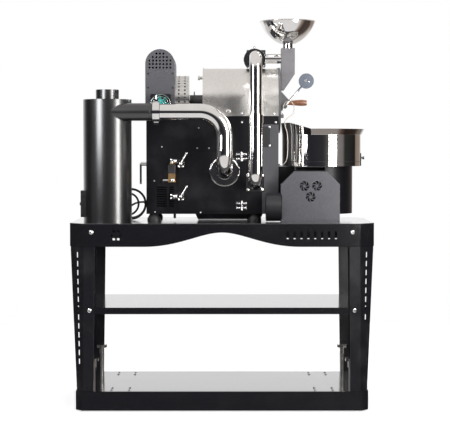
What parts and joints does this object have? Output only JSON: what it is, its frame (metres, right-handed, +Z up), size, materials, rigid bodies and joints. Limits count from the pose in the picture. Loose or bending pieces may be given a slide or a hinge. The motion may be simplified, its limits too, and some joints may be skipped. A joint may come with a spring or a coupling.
{
  "type": "home coffee bean roaster",
  "caption": "Drum roaster on a steel stand, with a hopper, round cooling tray, chaff cyclone, polished pipes and a slotted sheet metal frame.",
  "frame": {"origin": "bottom centre of the bounding box, on the floor", "axes": "+X to the right as seen from the pipe side, -Y towards that side, +Z up"},
  "size_m": [1.16, 0.507, 1.51],
  "materials": {
    "stand_black": "satin black powder coat",
    "bright_screws": "polished domed heads",
    "zinc": "zinc plated",
    "caster_rubber": "hard rubber",
    "jack_steel": "turned steel",
    "body_black": "satin black powder coat",
    "body_grey": "fine textured dark grey powder coat",
    "feet_rubber": "black rubber",
    "bright_chrome": "polished stainless steel",
    "satin_steel": "brushed stainless steel",
    "gearmotor": "painted casting",
    "valve_body": "brass body with a dark coil",
    "fan_plastic": "glass filled plastic with a bright wire guard",
    "blade_plastic": "blue green plastic",
    "trier_wood": "oiled handle on a steel tube",
    "lead_sheath": "braided sheath",
    "cord_rubber": "black rubber"
  },
  "bodies": {
    "machine": {"table_top": "stand_black", "legs": "stand_black", "mid_shelf": "stand_black", "base_pan": "stand_black", "stand_screws": "bright_screws", "caster_plates": "zinc", "cabinet": "body_black", "cyclone_body": "body_black", "plenum": "body_black", "front_frame": "body_grey", "motor_cover": "body_grey", "chute_box": "body_grey", "fan_box": "body_grey", "rubber_feet": "feet_rubber", "door_hardware": "bright_chrome", "down_pipe": "bright_chrome", "v_clamp": "bright_chrome", "hopper": "bright_chrome", "damper_box": "bright_chrome", "cooling_tray": "bright_chrome", "burner": "satin_steel", "drum_jacket": "satin_steel", "faceplate": "satin_steel", "sprocket_guard": "satin_steel", "bearing_housing": "satin_steel", "drum_motor": "gearmotor", "gas_valve": "valve_body", "fan_frame": "fan_plastic", "probe_lead": "lead_sheath", "power_cord": "cord_rubber", "cord_coil": "cord_rubber", "plug": "cord_rubber"},
    "jack_front_left": {"jack_front_left": "jack_steel"},
    "fork_front_left": {"caster_fork_front_left": "zinc"},
    "wheel_front_left": {"caster_wheel_front_left": "caster_rubber"},
    "jack_front_right": {"jack_front_right": "jack_steel"},
    "fork_front_right": {"caster_fork_front_right": "zinc"},
    "wheel_front_right": {"caster_wheel_front_right": "caster_rubber"},
    "jack_rear_left": {"jack_rear_left": "jack_steel"},
    "fork_rear_left": {"caster_fork_rear_left": "zinc"},
    "wheel_rear_left": {"caster_wheel_rear_left": "caster_rubber"},
    "jack_rear_right": {"jack_rear_right": "jack_steel"},
    "fork_rear_right": {"caster_fork_rear_right": "zinc"},
    "wheel_rear_right": {"caster_wheel_rear_right": "caster_rubber"},
    "door": {"access_door": "body_black", "elbow_pipe": "bright_chrome"},
    "upper_latch": {"upper_latch_lever": "bright_chrome"},
    "lower_latch": {"lower_latch_lever": "bright_chrome"},
    "side_lever": {"side_lever": "body_black"},
    "drum": {"drum": "satin_steel"},
    "motor_sprocket": {"motor_sprocket": "satin_steel"},
    "fan_blades": {"fan_blades": "blade_plastic"},
    "damper_valve": {"damper_valve": "satin_steel"},
    "discharge_door": {"discharge_door": "satin_steel"},
    "agitator": {"agitator": "satin_steel"},
    "cyclone_door": {"cyclone_door": "body_black"},
    "blower_wheel": {"blower_wheel": "satin_steel"},
    "hopper_gate": {"hopper_gate": "satin_steel"},
    "trier": {"trier": "trier_wood"},
    "tray_gate": {"tray_gate": "satin_steel"}
  },
  "joints": [
    {"name": "jack_screw_front_left", "type": "slide", "parent": "machine", "child": "jack_front_left", "axis": [0, 0, 1], "range_m": [-0.01, 0.006]},
    {"name": "caster_swivel_front_left", "type": "hinge", "parent": "machine", "child": "fork_front_left", "pos_m": [-0.39, -0.178, 0.07], "axis": [0, 0, 1], "continuous": true},
    {"name": "caster_roll_front_left", "type": "hinge", "parent": "fork_front_left", "child": "wheel_front_left", "pos_m": [-0.37, -0.178, 0.0265], "axis": [0, 1, 0], "continuous": true},
    {"name": "jack_screw_front_right", "type": "slide", "parent": "machine", "child": "jack_front_right", "axis": [0, 0, 1], "range_m": [-0.01, 0.006]},
    {"name": "caster_swivel_front_right", "type": "hinge", "parent": "machine", "child": "fork_front_right", "pos_m": [0.39, -0.178, 0.07], "axis": [0, 0, 1], "continuous": true},
    {"name": "caster_roll_front_right", "type": "hinge", "parent": "fork_front_right", "child": "wheel_front_right", "pos_m": [0.41, -0.178, 0.0265], "axis": [0, 1, 0], "continuous": true},
    {"name": "jack_screw_rear_left", "type": "slide", "parent": "machine", "child": "jack_rear_left", "axis": [0, 0, 1], "range_m": [-0.01, 0.006]},
    {"name": "caster_swivel_rear_left", "type": "hinge", "parent": "machine", "child": "fork_rear_left", "pos_m": [-0.39, 0.178, 0.07], "axis": [0, 0, 1], "continuous": true},
    {"name": "caster_roll_rear_left", "type": "hinge", "parent": "fork_rear_left", "child": "wheel_rear_left", "pos_m": [-0.37, 0.178, 0.0265], "axis": [0, 1, 0], "continuous": true},
    {"name": "jack_screw_rear_right", "type": "slide", "parent": "machine", "child": "jack_rear_right", "axis": [0, 0, 1], "range_m": [-0.01, 0.006]},
    {"name": "caster_swivel_rear_right", "type": "hinge", "parent": "machine", "child": "fork_rear_right", "pos_m": [0.39, 0.178, 0.07], "axis": [0, 0, 1], "continuous": true},
    {"name": "caster_roll_rear_right", "type": "hinge", "parent": "fork_rear_right", "child": "wheel_rear_right", "pos_m": [0.41, 0.178, 0.0265], "axis": [0, 1, 0], "continuous": true},
    {"name": "door_hinge", "type": "hinge", "parent": "machine", "child": "door", "pos_m": [0.076, -0.0567, 0.875], "axis": [0, 0, 1], "range_deg": [0, 25]},
    {"name": "upper_latch_turn", "type": "hinge", "parent": "door", "child": "upper_latch", "pos_m": [-0.161, -0.069, 0.944], "axis": [0, 1, 0], "range_deg": [0, 90]},
    {"name": "lower_latch_turn", "type": "hinge", "parent": "door", "child": "lower_latch", "pos_m": [-0.161, -0.069, 0.815], "axis": [0, 1, 0], "range_deg": [0, 90]},
    {"name": "side_lever_turn", "type": "hinge", "parent": "machine", "child": "side_lever", "pos_m": [-0.308, -0.01, 0.943], "axis": [1, 0, 0], "range_deg": [0, 60]},
    {"name": "drum_turn", "type": "hinge", "parent": "machine", "child": "drum", "pos_m": [0.07, 0.08, 1.195], "axis": [1, 0, 0], "continuous": true},
    {"name": "motor_sprocket_turn", "type": "hinge", "parent": "machine", "child": "motor_sprocket", "pos_m": [-0.2, 0.08, 1.29], "axis": [1, 0, 0], "continuous": true},
    {"name": "fan_turn", "type": "hinge", "parent": "machine", "child": "fan_blades", "pos_m": [-0.239, -0.052, 1.175], "axis": [0, 1, 0], "continuous": true},
    {"name": "damper_turn", "type": "hinge", "parent": "machine", "child": "damper_valve", "pos_m": [0.129, 0.08, 1.37], "axis": [0, 0, 1], "range_deg": [0, 90]},
    {"name": "discharge_turn", "type": "hinge", "parent": "machine", "child": "discharge_door", "pos_m": [0.2492, 0.08, 1.171], "axis": [0, -1, 0], "range_deg": [0, 33]},
    {"name": "agitator_turn", "type": "hinge", "parent": "machine", "child": "agitator", "pos_m": [0.397, 0.05, 0.96], "axis": [0, 0, 1], "continuous": true},
    {"name": "cyclone_door_hinge", "type": "hinge", "parent": "machine", "child": "cyclone_door", "pos_m": [-0.5422, -0.066, 0.791], "axis": [0, 0, -1], "range_deg": [0, 110]},
    {"name": "blower_turn", "type": "hinge", "parent": "machine", "child": "blower_wheel", "pos_m": [0.3415, -0.1, 0.8175], "axis": [0, 1, 0], "continuous": true},
    {"name": "gate_slide", "type": "slide", "parent": "machine", "child": "hopper_gate", "axis": [0, 1, 0], "range_m": [0, 0.042]},
    {"name": "trier_slide", "type": "slide", "parent": "machine", "child": "trier", "axis": [1, 0, 0], "range_m": [0, 0.12]},
    {"name": "tray_gate_slide", "type": "slide", "parent": "machine", "child": "tray_gate", "axis": [0, 0, 1], "range_m": [0, 0.045]}
  ],
  "couplings": [
    {"joint": "motor_sprocket_turn", "follows": "drum_turn", "ratio": 2.25}
  ]
}
